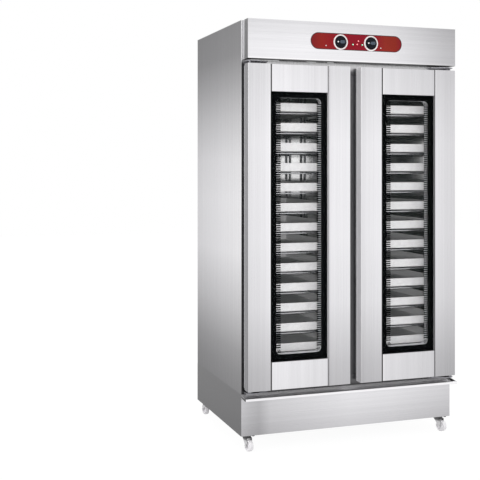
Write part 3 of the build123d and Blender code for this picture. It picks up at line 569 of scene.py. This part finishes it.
enamel = moulded("enamel", (2, 2, 3), roughness=0.5, speckle=0.04)
shader_of(enamel).inputs["Specular IOR Level"].default_value = 0.0
for side in ("left", "right"):
    low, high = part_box(side + "_door_glass")
    back = low.y + OUTER_PANE     # back face of the outer pane
    window = (low.x + MARGIN_LEFT, high.x - MARGIN_RIGHT, low.z + MARGIN_LOW, high.z - MARGIN_TOP)
    inner = rounded_loop(*window, CORNER)
    outer = rounded_loop(low.x, high.x, low.z, high.z, PANE_CORNER)
    border = flat_ring(side + "_glass_border", inner, outer, back, back + PRINT)
    border.data.materials.append(enamel)
    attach(border, side + "_door")

    low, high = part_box(side + "_door_spacer")
    outer = rounded_loop(low.x, high.x, low.z, high.z, PANE_CORNER)
    inner = rounded_loop(
        low.x + SPACER_BAR, high.x - SPACER_BAR, low.z + SPACER_BAR, high.z - SPACER_BAR,
        SPACER_CORNER,
    )
    spacer = flat_ring(side + "_glass_spacer", inner, outer, low.y, high.y)
    spacer.data.materials.append(border_black)
    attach(spacer, side + "_door")
    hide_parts(side + "_door_spacer")

    rows = np.arange(window[2] + CORNER + COMB_PITCH, window[3] - CORNER, COMB_PITCH)
    centres, lengths, heights, turns = [], [], [], []
    for edge, inward in ((window[0], 1), (window[1], -1)):
        spots = np.stack([np.full(len(rows), edge + inward * COMB_LENGTH / 2), rows], axis=-1)
        centres.append(spots)
        lengths.append(np.full(len(rows), COMB_LENGTH))
        heights.append(np.full(len(rows), COMB_BAR))
        turns.append(np.zeros(len(rows)))
        for z, up in ((window[2] + CORNER, -1), (window[3] - CORNER, 1)):
            for radius, dots in DOT_ARCS:
                angle = np.linspace(DOT_MARGIN, math.pi / 2 - DOT_MARGIN, dots)
                x = edge + inward * (CORNER - radius * np.cos(angle))
                centres.append(np.stack([x, z + up * radius * np.sin(angle)], axis=-1))
                lengths.append(np.full(dots, DOT_LENGTH))
                heights.append(np.full(dots, DOT_HEIGHT))
                turns.append(-inward * up * (math.pi / 2 - angle))
    bar_lists = [np.concatenate(values) for values in (centres, lengths, heights, turns)]
    points, faces = bars(*bar_lists, back, PRINT)
    comb_mesh = bpy.data.meshes.new(side + "_glass_comb")
    comb_mesh.from_pydata(points.tolist(), [], faces.tolist())
    comb = placed(comb_mesh)
    comb.data.materials.append(enamel)
    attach(comb, side + "_door")

# ---------------------------------------------------------------- chamber
# The chamber is lined with stainless sheet, painted darker towards its floor and white high up
# as painted shade and light. Racks welded from polished rod carry the trays: four uprights, and
# two cross rods and two runners a level.
# Painted light: darker towards the chamber floor and white above 1.25 m.
liner_steel = sheet_steel(
    "liner_steel",
    front=((0.2, 170), (1.0, 200), (1.25, 255), (1.7, 255)),
    side=((0.2, 180), (1.0, 215), (1.25, 255), (1.7, 255)),
    over=((0.2, 170), (1.7, 250)),
    roughness=0.1,
    grain=(500, 500, 3),
)
for node in ("chamber_liner", "chamber_floor", "water_pan"):
    finish(node, liner_steel)


MARK_GRAIN, STAIN_GRAIN = (60, 300, 60), (130, 130, 130)           # cycles a metre along x, y, z


def polished(name, colour, roughness=0.18, metallic=1.0):
    """Polished or plated metal of one sRGB colour, with faint drawing marks and small stains."""
    metal, tree, shader, where = blank(name)
    place = where.outputs["Object"]
    shader.inputs["Metallic"].default_value = metallic
    marks = streaks(tree, place, MARK_GRAIN, low=0.93, high=1.04)
    shade = tinted(tree, [linear(v) for v in colour], marks)
    tree.links.new(shade, shader.inputs["Base Color"])
    rough = streaks(tree, place, STAIN_GRAIN, roughness - 0.06, roughness + 0.07)
    tree.links.new(rough, shader.inputs["Roughness"])
    return metal


rod_steel = polished("rod_steel", (182, 182, 185))
STEEP = 0.9                                # a direction with a larger Z part counts as upright


def rods(name, starts, ends, reach, power=1.0, sides=12):
    """Straight bars between two lists of points, made as one mesh with closed ends.

    The section is a circle of that reach with its sine and cosine raised to power: 1 is round,
    and less is a square with rounded corners.
    """
    starts, ends = np.array(starts, float), np.array(ends, float)
    heading = ends - starts
    heading /= np.linalg.norm(heading, axis=1)[:, None]
    upright = np.abs(heading[:, 2:]) > STEEP
    first = np.cross(heading, np.where(upright, (1.0, 0.0, 0.0), (0.0, 0.0, 1.0)))
    second = np.cross(heading, first)
    turn = np.linspace(0, 2 * math.pi, sides, endpoint=False) + math.pi / sides
    wave = np.stack([np.cos(turn), np.sin(turn)])
    wave = reach * np.sign(wave) * np.abs(wave) ** power
    section = wave[0][None, :, None] * first[:, None] + wave[1][None, :, None] * second[:, None]
    points = np.stack([starts[:, None] + section, ends[:, None] + section], axis=1)
    base = (np.arange(len(starts)) * 2 * sides)[:, None]
    k = np.arange(sides)[None]
    after = (k + 1) % sides
    quads = np.stack([base + k, base + after, base + after + sides, base + k + sides], axis=-1)
    faces = quads.reshape(-1, 4).tolist()
    faces += (base + k[:, ::-1]).tolist() + (base + k + sides).tolist()
    mesh = bpy.data.meshes.new(name)
    mesh.from_pydata(points.reshape(-1, 3).tolist(), [], faces)
    mesh.polygons.foreach_set("use_smooth", np.array([len(face) == 4 for face in faces]))
    return mesh


def closed_up(mesh, sharp=38):
    """Merges a mesh's coinciding points, turns its faces outwards and keeps its sharp edges."""
    work = bmesh.new()
    work.from_mesh(mesh)
    bmesh.ops.remove_doubles(work, verts=work.verts, dist=1e-6)
    bmesh.ops.recalc_face_normals(work, faces=work.faces)
    work.to_mesh(mesh)
    work.free()
    mesh.set_sharp_from_angle(angle=math.radians(sharp))
    return mesh


RACK_FLOOR, RACK_TOP = 0.281, 1.620
POST_POWER = 0.45                          # the posts are square with rounded corners
POST_X, POST_Y, POST_HALF = (0.466, 0.040), (-0.2695, 0.2985), 0.006
CROSS_Y, CROSS_HALF = (-0.2790, 0.3080), 0.0035
RUNNER_X, RUNNER_Y, RUNNER_HALF = (0.440, 0.068), (-0.2825, 0.3115), 0.0025
TRAY_LEVELS, TRAY_PITCH = 13, 0.0855
TOP_SEAT = 1.437                           # underside of the top tray
seats = TOP_SEAT - TRAY_PITCH * np.arange(TRAY_LEVELS)
for side, sign in (("left", -1), ("right", 1)):
    finish(side + "_rack", rod_steel)
    posts = [(sign * x, y) for x in POST_X for y in POST_Y]
    ends = [sign * (x + out) for x, out in zip(POST_X, (POST_HALF, -POST_HALF))]
    crosses = [(y, z - 2 * RUNNER_HALF - CROSS_HALF) for z in seats for y in CROSS_Y]
    runners = [(sign * x, z - RUNNER_HALF) for z in seats for x in RUNNER_X]
    post_ends = [[(*xy, z) for xy in posts] for z in (RACK_FLOOR, RACK_TOP)]
    cross_ends = [[(x, *yz) for yz in crosses] for x in ends]
    runner_ends = [[(x, y, z) for x, z in runners] for y in RUNNER_Y]
    rack = (
        ("posts", *post_ends, POST_HALF, POST_POWER),
        ("crosses", *cross_ends, CROSS_HALF, 1.0),
        ("runners", *runner_ends, RUNNER_HALF, 1.0),
    )
    for part, starts, stops, reach, power in rack:
        mesh = closed_up(rods(f"{side}_rack_{part}", starts, stops, reach, power))
        bar_set = placed(mesh)
        bar_set.data.materials.append(rod_steel)
        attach(bar_set, "cabinet")
        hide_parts(side + "_rack")

# ---------------------------------------------------------------- equipment
# Cream foam boards insulate the body. Steel tube heaters and a guarded steel fan on an enamelled
# motor warm the chamber, and black moulded thermostats, terminals and gland serve them.
finish("insulation", moulded("foam", (224, 208, 160), roughness=0.8, speckle=0.1))
for node in ("air_heater", "humidity_heater", "fan_guard", "fan_impeller"):
    finish(node, rod_steel)
finish("fan_motor", moulded("motor_enamel", (64, 66, 70), roughness=0.4))
for node in ("thermostats", "terminal_block", "cable_gland"):
    finish(node, moulded(node + "_plastic", (34, 34, 36), roughness=0.45))

# ---------------------------------------------------------------- gaskets
# A soft rubber bellows runs round the back of each inner pan. Its base is pressed into the pan,
# and its flat face, with a magnetic strip inside, meets the sealing face.
GASKET_CORNER = 0.002
# (inset from the outer edge, distance from the pan) once round the section
GASKET_PROFILE = np.array([
    (0.0, 0.0), (0.0002, 0.0009), (0.0014, 0.0016), (0.0014, 0.0020), (0.0002, 0.0026),
    (0.0001, 0.0040), (0.0010, 0.0049), (0.0030, 0.0050), (0.0090, 0.0050), (0.0110, 0.0049),
    (0.0119, 0.0040), (0.0118, 0.0026), (0.0106, 0.0020), (0.0106, 0.0016), (0.0118, 0.0009),
    (0.0120, 0.0),
])
for side in ("left", "right"):
    low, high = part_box(side + "_door_gasket")
    loops = np.zeros((len(GASKET_PROFILE), 4 * ARC_STEPS, 3))
    for row, (inset, out) in enumerate(GASKET_PROFILE):
        loops[row, :, 0::2] = rounded_loop(
            low.x + inset, high.x - inset, low.z + inset, high.z - inset, GASKET_CORNER
        )
        loops[row, :, 1] = low.y + out
    bellows = grid_mesh(side + "_gasket_bellows", loops, closed_u=True, closed_v=True)
    closed_up(bellows.data, sharp=60)
    bellows.data.materials.append(gasket_rubber)
    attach(bellows, side + "_door")
    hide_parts(side + "_door_gasket")

# ---------------------------------------------------------------- trays
# Thirteen aluminium baking trays slide into each rack. A tray is pressed from one sheet: a flat
# floor with a bent edge, sloping walls and a rolled rim.
TRAY_SIZE = (0.400, 0.600, 0.036)
TRAY_CORNER, TRAY_CORNER_LEAST = 0.012, 0.002
# (inset from the rim's outline, height) from the underside round the rim to the inside
TRAY_PROFILE = np.array([
    (0.0125, 0.0), (0.0062, 0.0), (0.0040, 0.0012), (0.0030, 0.0050), (0.0014, 0.0310),
    (0.0006, 0.0332), (0.0, 0.0346), (0.0006, 0.0358), (0.0018, 0.0360), (0.0028, 0.0352),
    (0.0032, 0.0330), (0.0048, 0.0056), (0.0060, 0.0030), (0.0085, 0.0018), (0.0150, 0.0015),
])


def tray_loop(inset):
    """Rounded outline of a tray, drawn in by inset, as x, y about the tray's middle."""
    wide, deep = TRAY_SIZE[0] / 2 - inset, TRAY_SIZE[1] / 2 - inset
    return rounded_loop(-wide, wide, -deep, deep, max(TRAY_CORNER - inset, TRAY_CORNER_LEAST))


sheet_aluminium = polished("sheet_aluminium", (225, 224, 225), roughness=0.5, metallic=0.15)
for side in ("left", "right"):
    low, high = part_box(side + "_trays")
    middle = ((low.x + high.x) / 2, (low.y + high.y) / 2)
    rings = np.stack([tray_loop(inset) for inset in TRAY_PROFILE[:, 0]])
    count = rings.shape[1]
    points, faces = [], []
    for level in range(TRAY_LEVELS):
        base = high.z - TRAY_SIZE[2] - level * TRAY_PITCH
        tray = np.zeros((*rings.shape[:2], 3))
        tray[..., 0], tray[..., 1] = rings[..., 0] + middle[0], rings[..., 1] + middle[1]
        tray[..., 2] = base + TRAY_PROFILE[:, 1, None]
        first = level * tray.shape[0] * count
        i, j = np.meshgrid(np.arange(len(rings) - 1), np.arange(count), indexing="ij")
        near, after = i * count + j, i * count + (j + 1) % count
        quads = np.stack([near, after, after + count, near + count], axis=-1).reshape(-1, 4)
        faces += (quads + first).tolist()
        faces.append((np.arange(count)[::-1] + first).tolist())
        faces.append((np.arange(count) + first + (len(rings) - 1) * count).tolist())
        points.append(tray.reshape(-1, 3))
    tray_mesh = bpy.data.meshes.new(side + "_baking_trays")
    tray_mesh.from_pydata(np.concatenate(points).tolist(), [], faces)
    tray_mesh.polygons.foreach_set("use_smooth", np.array([len(face) == 4 for face in faces]))
    closed_up(tray_mesh, sharp=60)
    stack = placed(tray_mesh)
    stack.data.materials.append(sheet_aluminium)
    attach(stack, "cabinet")
    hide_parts(side + "_trays")

# ---------------------------------------------------------------- controls
# A red printed plate carries two black dials in white rings, two green and two red lamps. The
# plate has a dark outline and turns browner towards its ends. The dials are moulded with a
# fluted skirt and a grip bar whose blue-grey is a painted highlight, and each lamp is a lens in a
# coloured collar.
overlay_print, tree, shader, where = blank("overlay_print")
split = tree.nodes.new("ShaderNodeSeparateXYZ")
tree.links.new(where.outputs["Object"], split.inputs[0])
tone = along(tree, split.outputs["X"], (
    (-0.210, (124, 30, 34)), (-0.160, (146, 36, 30)), (-0.090, (142, 20, 34)),
    (0.085, (140, 18, 38)), (0.140, (146, 44, 34)), (0.190, (142, 42, 30)),
    (0.222, (132, 24, 38)),
))
PRINT_GRAIN = (240, 240, 240)     # cycles a metre along x, y, z
print_grain = streaks(tree, where.outputs["Object"], PRINT_GRAIN, low=0.88, high=0.99)
tree.links.new(times(tree, tone, print_grain), shader.inputs["Base Color"])
shader.inputs["Roughness"].default_value = 0.4
shader.inputs["Specular IOR Level"].default_value = 0.12
finish("control_overlay", overlay_print)
OUTLINE, OUTLINE_THICKNESS = 0.0030, 0.0002
low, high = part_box("control_overlay")
radius = (high.z - low.z) / 2
outer = rounded_loop(low.x, high.x, low.z, high.z, radius)
inner = rounded_loop(
    low.x + OUTLINE, high.x - OUTLINE, low.z + OUTLINE, high.z - OUTLINE, radius - OUTLINE
)
outline = flat_ring("overlay_outline", inner, outer, low.y - OUTLINE_THICKNESS, low.y)
outline.data.materials.append(moulded("outline_ink", (52, 20, 24), roughness=0.4))
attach(outline, "cabinet")


def turned(name, centre, axis, profile, material, steps=48, ring=False, lobes=0, wave=None):
    """Profile of (radius, distance) carried round an axis through centre.

    The radius gains wave * cos(lobes * angle), with one wave depth for each point of the profile.
    A profile that starts and ends on the axis is closed, and so is a ring.
    """
    axis = np.array(axis, float)
    first = np.cross(axis, (1.0, 0.0, 0.0) if abs(axis[2]) > STEEP else (0.0, 0.0, 1.0))
    first /= np.linalg.norm(first)
    second = np.cross(axis, first)
    profile = np.array(profile, float)
    turn = np.linspace(0, 2 * math.pi, steps, endpoint=False)
    depth = np.zeros(len(profile)) if wave is None else np.array(wave, float)
    reach = profile[:, :1] + depth[:, None] * np.cos(lobes * turn)
    spoke = np.cos(turn)[:, None] * first + np.sin(turn)[:, None] * second
    points = np.array(centre, float) + profile[:, 1, None, None] * axis + reach[..., None] * spoke
    thing = grid_mesh(name, points, closed_u=ring, closed_v=True)
    closed_up(thing.data)
    thing.data.materials.append(material)
    return thing


OUT = (0.0, -1.0, 0.0)
PLATE_Y = low.y                    # front of the plate
KNOB_X, KNOB_Z = (-0.072, 0.072), 1.733
BEZEL_PROFILE = (
    (0.0270, 0.0), (0.0270, 0.0028), (0.0275, 0.0037), (0.0285, 0.0040), (0.0316, 0.0040),
    (0.0326, 0.0036), (0.0330, 0.0026), (0.0330, 0.0),
)
DIAL_PROFILE = (
    (0.0, -0.0220), (0.0030, -0.0220), (0.0030, 0.0010), (0.0244, 0.0010), (0.0255, 0.0015),
    (0.0256, 0.0038), (0.0250, 0.0048), (0.0232, 0.0051), (0.0212, 0.0054), (0.0206, 0.0062),
    (0.0200, 0.0094), (0.0194, 0.0107), (0.0182, 0.0112), (0.0, 0.0112),
)
DIAL_FLUTES = 24
DIAL_WAVE = (0, 0, 0, 0.0003, 0.0004, 0.0004, 0.0003, 0, 0, 0, 0, 0, 0, 0)
GRIP_LEFT, GRIP_RIGHT, GRIP_HALF = 0.0070, 0.0168, 0.0072     # reach from the dial's axis
GRIP_CORNER = 0.0070
# (inset from the grip's outline, distance from the plate)
GRIP_RINGS = (
    (0.0, 0.0108), (0.0002, 0.0126), (0.0008, 0.0138), (0.0018, 0.0146), (0.0034, 0.0151),
    (0.0060, 0.0152),
)
POINTER_REACH, POINTER_OUT = 0.0155, 0.0110                   # from the dial's axis, the plate
POINTER_PROFILE = (
    (0.0, -0.0002), (0.0032, -0.0002), (0.0032, 0.0004), (0.0029, 0.0006), (0.0, 0.0007),
)
bezel_white = moulded("bezel_white", (240, 236, 235), roughness=0.3, speckle=0.02)
dial_black = moulded("dial_black", (14, 18, 26), roughness=0.3, speckle=0.08)
shader_of(dial_black).inputs["Specular IOR Level"].default_value = 0.12
# The grip's blue-grey is a painted highlight: the sheen of a black grip.
grip_painted_sheen = moulded("grip_painted_sheen", (74, 86, 98), roughness=0.3, speckle=0.08)
shader_of(grip_painted_sheen).inputs["Specular IOR Level"].default_value = 0.25
mark_white = moulded("mark_white", (246, 244, 244), roughness=0.35, speckle=0.02)
for x, dial in zip(KNOB_X, ("temperature", "humidity")):
    centre = (x, PLATE_Y, KNOB_Z)
    bezel = turned(
        dial + "_bezel", centre, OUT, BEZEL_PROFILE, bezel_white, steps=96, ring=True
    )
    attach(bezel, "cabinet")
    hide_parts("knob_bezels")
    knob = turned(
        dial + "_dial_body", centre, OUT, DIAL_PROFILE, dial_black, steps=144,
        lobes=DIAL_FLUTES, wave=DIAL_WAVE,
    )
    # the grip is a broad bar with rounded ends, drawn in ring by ring towards its top
    bar = np.zeros((len(GRIP_RINGS), 4 * ARC_STEPS, 3))
    for row, (inset, out) in enumerate(GRIP_RINGS):
        loop = rounded_loop(
            inset - GRIP_LEFT, GRIP_RIGHT - inset, inset - GRIP_HALF, GRIP_HALF - inset,
            GRIP_CORNER - inset,
        )
        bar[row, :, 0::2] = loop + (x, KNOB_Z)
        bar[row, :, 1] = PLATE_Y - out
    poles = bar.mean(axis=1)[:, None].repeat(bar.shape[1], 1)
    bar = np.concatenate([poles[:1], bar, poles[-1:]])
    grip = grid_mesh(dial + "_dial_grip", bar, closed_v=True)
    closed_up(grip.data)
    grip.data.materials.append(grip_painted_sheen)
    pointer = turned(
        dial + "_dial_pointer", (x - POINTER_REACH, PLATE_Y - POINTER_OUT, KNOB_Z), OUT,
        POINTER_PROFILE, mark_white, steps=28,
    )
    for piece, finish_slot in (
        (knob, "knob_black"), (grip, "knob_black"), (pointer, "bezel_white"),
    ):
        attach(piece, dial + "_dial")
    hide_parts(dial + "_knob")
    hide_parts(dial + "_knob")

LAMP_PLACES = {"green": ((-0.014, 1.725), (0.030, 1.725)), "red": ((0.006, 1.726), (0.012, 1.741))}
LENS_PROFILE = (
    (0.0, -0.0030), (0.0026, -0.0030), (0.0026, 0.0024), (0.0024, 0.0032), (0.0015, 0.0038),
    (0.0, 0.0040),
)
COLLAR_PROFILE = (
    (0.0026, -0.0165), (0.0044, -0.0165), (0.0044, -0.0024), (0.0035, -0.0022), (0.0035, 0.0001),
    (0.0045, 0.0001), (0.0045, 0.0010), (0.0041, 0.0019), (0.0033, 0.0023), (0.0026, 0.0020),
)
LAMP_COLOURS = (                  # (hue, lens, collar)
    ("green", (206, 250, 226), (14, 100, 54)), ("red", (250, 160, 164), (190, 36, 46)),
)
for hue, lens_colour, collar_colour in LAMP_COLOURS:
    lens_glass = moulded(hue + "_lamp_lens", lens_colour, roughness=0.15, speckle=0.04, coat=0.5)
    shader = shader_of(lens_glass)
    shader.inputs["Emission Color"].default_value = (*[linear(v) for v in lens_colour], 1)
    shader.inputs["Emission Strength"].default_value = 0.5
    collar_glass = moulded(hue + "_lamp_collar", collar_colour, roughness=0.25, speckle=0.04)
    for number, (x, z) in enumerate(LAMP_PLACES[hue], start=1):
        centre = (x, PLATE_Y, z)
        lens = turned(f"{hue}_lamp_{number}", centre, OUT, LENS_PROFILE, lens_glass, steps=24)
        collar = turned(
            f"{hue}_lamp_collar_{number}", centre, OUT, COLLAR_PROFILE, collar_glass, steps=24,
            ring=True,
        )
        for piece in (lens, collar):
            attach(piece, "cabinet")
            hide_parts(hue + "_lamps")

MARK_PLACES = (("heat_mark", -0.139, 1.716), ("steam_mark", 0.120, 1.715))
MARK_PROFILE = (
    (0.0, -0.0002), (0.0024, -0.0002), (0.0024, 0.0001), (0.0021, 0.0003), (0.0, 0.0003),
)
for name, x, z in MARK_PLACES:
    mark = turned(name, (x, PLATE_Y, z), OUT, MARK_PROFILE, mark_white, steps=24)
    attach(mark, "cabinet")

# ---------------------------------------------------------------- gutter and hinges
# The drip gutter under the doors is folded from brushed sheet, with a rolled lip whose brightness
# is a painted highlight. The doors turn on plates, bolts and pivot pins of zinc-plated steel.
# Painted light: a painted highlight on the lip, painted shade on the faces behind the lip and
# along the low edge of the ends, and the top of the lip painted brighter than the gutter floor.
gutter_steel = sheet_steel(
    "gutter_steel",
    front=((0.229, 246), (0.246, 255)),
    side=((0.229, 50), (0.2365, 60), (0.238, 140), (0.246, 140)),
    behind=((-0.353, 255), (-0.350, 204), (-0.297, 204)),
    over=((0.229, 225), (0.239, 235), (0.2397, 248), (0.246, 250)),
    roughness=0.42,
    grain=GRAIN_ACROSS,
)
finish("drip_gutter", gutter_steel)
zinc_plate = polished("zinc_plate", (146, 145, 150), roughness=0.36)
for node in ("hinge_brackets", "bracket_bolts", "left_door_pivots", "right_door_pivots"):
    finish(node, zinc_plate)

# ---------------------------------------------------------------- castors
# A castor is a zinc-plated pressed fork, painted dark from its crown up as painted shade under
# the base, with a pale nylon wheel. The wheel is moulded with a crowned tread, a recessed web
# and a hub that its axle runs in.
HEADINGS = {"front_left": 10, "front_right": 20, "rear_left": 186, "rear_right": 170}   # degrees
WHEEL_PROFILE = (
    (0.0034, -0.0100), (0.0072, -0.0100), (0.0080, -0.0094), (0.0084, -0.0064), (0.0098, -0.0058),
    (0.0172, -0.0058), (0.0186, -0.0066), (0.0192, -0.0092), (0.0202, -0.0100), (0.0216, -0.0098),
    (0.0234, -0.0086), (0.0246, -0.0058), (0.0250, -0.0020), (0.0250, 0.0020), (0.0246, 0.0058),
    (0.0234, 0.0086), (0.0216, 0.0098), (0.0202, 0.0100), (0.0192, 0.0092), (0.0186, 0.0066),
    (0.0172, 0.0058), (0.0098, 0.0058), (0.0084, 0.0064), (0.0080, 0.0094), (0.0072, 0.0100),
    (0.0034, 0.0100),
)
wheel_nylon = moulded("wheel_nylon", (245, 243, 246), roughness=0.36, speckle=0.03)
shader = shader_of(wheel_nylon)
shader.inputs["Subsurface Weight"].default_value = 0.25
shader.inputs["Subsurface Radius"].default_value = (0.004, 0.004, 0.004)
# Painted shade: the zinc is painted dark from the crown up, where the base shades the castor.
castor_zinc_painted_shade = sheet_steel(
    "castor_zinc_painted_shade",
    front=((0.0, 214), (0.044, 206), (0.051, 110), (0.062, 78), (0.08, 70)),
    roughness=0.34,
    grain=(260, 260, 260),
)
for name in ("castor_plates", "castor_bolts"):
    finish(name, castor_zinc_painted_shade)
for corner_name, heading in HEADINGS.items():
    finish("castor_fork_" + corner_name, castor_zinc_painted_shade)
    near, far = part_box("castor_wheel_" + corner_name)
    centre = [(a + b) / 2 for a, b in zip(near, far)]
    turn = math.radians(heading - 90)
    axle = (-math.sin(turn), math.cos(turn), 0.0)
    wheel = turned(
        corner_name + "_nylon_wheel", centre, axle, WHEEL_PROFILE, wheel_nylon, steps=64,
        ring=True,
    )
    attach(wheel, "wheel_" + corner_name)
    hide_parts("castor_wheel_" + corner_name)
